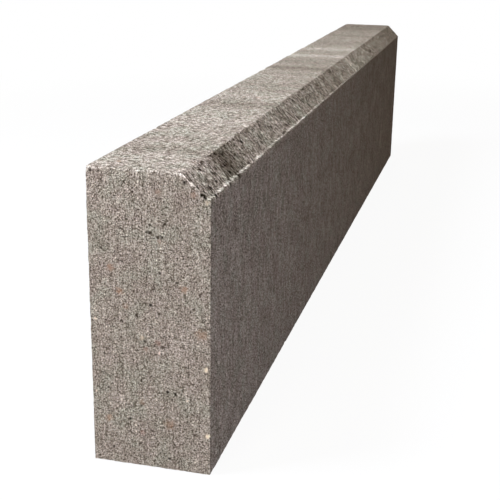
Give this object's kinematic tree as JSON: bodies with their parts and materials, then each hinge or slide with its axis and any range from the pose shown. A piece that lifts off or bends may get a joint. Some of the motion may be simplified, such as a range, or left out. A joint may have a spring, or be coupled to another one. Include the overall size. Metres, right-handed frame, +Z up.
{
  "type": "concrete kerb stone",
  "caption": "Straight pressed-concrete kerb stone: a long rectangular block with a splayed front top edge, bedded upright along the edge of a road, path or lawn.",
  "frame": {"origin": "middle of the bedding face, the underside", "axes": "+X along the length, +Y from the splayed front to the plain back, +Z up"},
  "size_m": [1, 0.08, 0.2],
  "materials": {
    "concrete": "rough dry-cast concrete, open sandy grain"
  },
  "bodies": {
    "root": {"kerb_stone": "concrete"}
  },
  "joints": []
}
